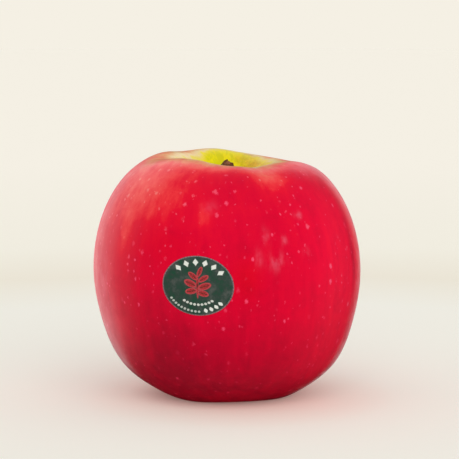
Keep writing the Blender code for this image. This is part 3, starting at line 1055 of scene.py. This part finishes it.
# The floor's faint glow by the distance in metres from the middle of the shade, which lies a
# little to the left. It keeps the shade as light as the photo's.
SHADE_MIDDLE = (-0.002, 0.0, 0.0)
FLOOR_GLOW = (
    (0.010, grey(0.08)),
    (0.016, grey(0.15)),
    (0.021, grey(0.220)),
    (0.026, grey(0.268)),
    (0.030, grey(0.238)),
    (0.036, grey(0.212)),
    (0.044, grey(0.188)),
    (0.055, grey(0.180)),
    (0.090, grey(0.180)),
    (0.180, grey(0.195)),
)
BACKDROP = srgb(245, 240, 228)
DOME_LIGHT = 0.63
SUN_SPREAD = 60.0
SOFTBOX_DISTANCE = 1.2
# Lengths of the camera are in metres, angles in degrees and the scale in pixels a millimetre.
CAMERA_ELEVATION = 7.5
CAMERA_DISTANCE = 0.58
CAMERA_SCALE = 3.391
FRAME_PIXELS = 459
SENSOR_MM = 36.0
AIM_RIGHT_MM = 0.65
AIM_ABOVE_MM = 13.0
FRUIT_MIDDLE = Vector((0, 0, FRUIT_MID_HEIGHT * MM))


def floor_material():
    """Pale and matt, with a faint painted glow that lightens the fruit's shadow, painted red bounce light
    near the fruit and a deeper ring where a table's edge would blur.
    """
    n = Nodes("floor", Roughness=0.9, Specular_IOR_Level=0.0)
    place = n.add("TexCoord").outputs["Object"]
    bounce_distance = n.length(n.vector("SUBTRACT", place, BOUNCE_MIDDLE))
    shade = n.length(n.vector("SUBTRACT", place, SHADE_MIDDLE))
    # Floor tone, warmer near the fruit as painted red bounce light.
    tone = n.ramp(bounce_distance, FLOOR_TONES_AND_BOUNCE)
    # A painted glow that lightens the fruit's shadow on the floor.
    n.put(n.shader.inputs["Emission Strength"], n.ramp(shade, FLOOR_GLOW))
    n.put(n.shader.inputs["Base Color"], tone)
    n.put(n.shader.inputs["Emission Color"], tone)
    return n.material


def make_floor():
    mesh = bpy.data.meshes.new("floor")
    angles = np.linspace(0.0, TURN, FLOOR_SIDES, endpoint=False)
    ring = np.column_stack([np.cos(angles), np.sin(angles), np.zeros(FLOOR_SIDES)]) * FLOOR_RADIUS
    mesh.from_pydata(ring.tolist(), [], [tuple(range(FLOOR_SIDES))])
    mesh.materials.append(floor_material())
    floor = bpy.data.objects.new("floor", mesh)
    floor.location.z = CAD_BOX[0][2]
    floor.visible_glossy = False
    floor.visible_shadow = False
    bpy.context.scene.collection.objects.link(floor)


def make_world():
    """A pale backdrop for the camera and an even white dome that lights only matt surfaces."""
    world = bpy.data.worlds.new("studio")
    bpy.context.scene.world = world
    world.use_nodes = True
    nodes, links = world.node_tree.nodes, world.node_tree.links
    dome = nodes["Background"]
    dome.inputs["Color"].default_value = grey(1.0)
    dome.inputs["Strength"].default_value = DOME_LIGHT
    backdrop = nodes.new("ShaderNodeBackground")
    backdrop.inputs["Color"].default_value = BACKDROP
    seen = nodes.new("ShaderNodeMixShader")
    links.new(nodes.new("ShaderNodeLightPath").outputs["Is Camera Ray"], seen.inputs["Fac"])
    links.new(dome.outputs["Background"], seen.inputs[1])
    links.new(backdrop.outputs["Background"], seen.inputs[2])
    links.new(seen.outputs["Shader"], nodes["World Output"].inputs["Surface"])
    world.cycles_visibility.glossy = False


def direction(azimuth, elevation):
    """From the fruit towards a place in the studio, in degrees."""
    turn, rise = math.radians(azimuth), math.radians(elevation)
    level = math.cos(rise)
    return Vector((math.sin(turn) * level, -math.cos(turn) * level, math.sin(rise)))


def add_lamp(light, toward):
    """An object for the light, turned to face the fruit."""
    lamp = bpy.data.objects.new(light.name, light)
    lamp.rotation_euler = (-toward).to_track_quat("-Z", "Y").to_euler()
    bpy.context.scene.collection.objects.link(lamp)
    return lamp


def make_sun(name, azimuth, elevation, strength):
    """A very broad soft light that adds no gloss. It lights the floor evenly, near and far."""
    light = bpy.data.lights.new(name, "SUN")
    light.energy = strength
    light.angle = math.radians(SUN_SPREAD)
    lamp = add_lamp(light, direction(azimuth, elevation))
    lamp.visible_glossy = False


def make_softbox(name, azimuth, elevation, size, brightness):
    """A panel that is only seen as a sheen in glossy surfaces; size is its width and height."""
    light = bpy.data.lights.new(name, "AREA")
    light.shape = "RECTANGLE"
    light.size, light.size_y = size
    light.energy = brightness * size[0] * size[1] * math.pi
    toward = direction(azimuth, elevation)
    lamp = add_lamp(light, toward)
    lamp.location = FRUIT_MIDDLE + SOFTBOX_DISTANCE * toward
    lamp.visible_camera = False
    lamp.visible_diffuse = False


def make_camera():
    camera = bpy.data.cameras.new("camera")
    camera.sensor_width = SENSOR_MM
    distance = CAMERA_DISTANCE / MM
    camera.lens = CAMERA_SCALE * distance * SENSOR_MM / FRAME_PIXELS
    camera.clip_start = 0.05
    obj = bpy.data.objects.new("camera", camera)
    obj.location = FRUIT_MIDDLE + CAMERA_DISTANCE * direction(0, CAMERA_ELEVATION)
    rise = math.radians(CAMERA_ELEVATION)
    up = Vector((0, math.sin(rise), math.cos(rise)))
    aim = FRUIT_MIDDLE + AIM_RIGHT_MM * MM * Vector((1, 0, 0)) + AIM_ABOVE_MM * MM * up
    obj.rotation_euler = (aim - obj.location).to_track_quat("-Z", "Y").to_euler()
    bpy.context.scene.collection.objects.link(obj)
    bpy.context.scene.camera = obj


def make_studio():
    make_floor()
    make_world()
    make_sun("front_window", 12, 31, 0.77)
    make_sun("skylight", 0, 78, 0.15)
    make_softbox("upper_left_box", -150, 50, (1.0, 0.8), 1.0)
    make_softbox("left_band", -138, 8, (1.3, 1.65), 1.2)
    make_softbox("right_band", 163, 9, (0.48, 1.5), 1.3)
    make_camera()
    view = bpy.context.scene.view_settings
    view.view_transform = "Standard"
    view.look = "None"


make_fruit()
make_stem()
make_calyx()
make_label()
make_studio()
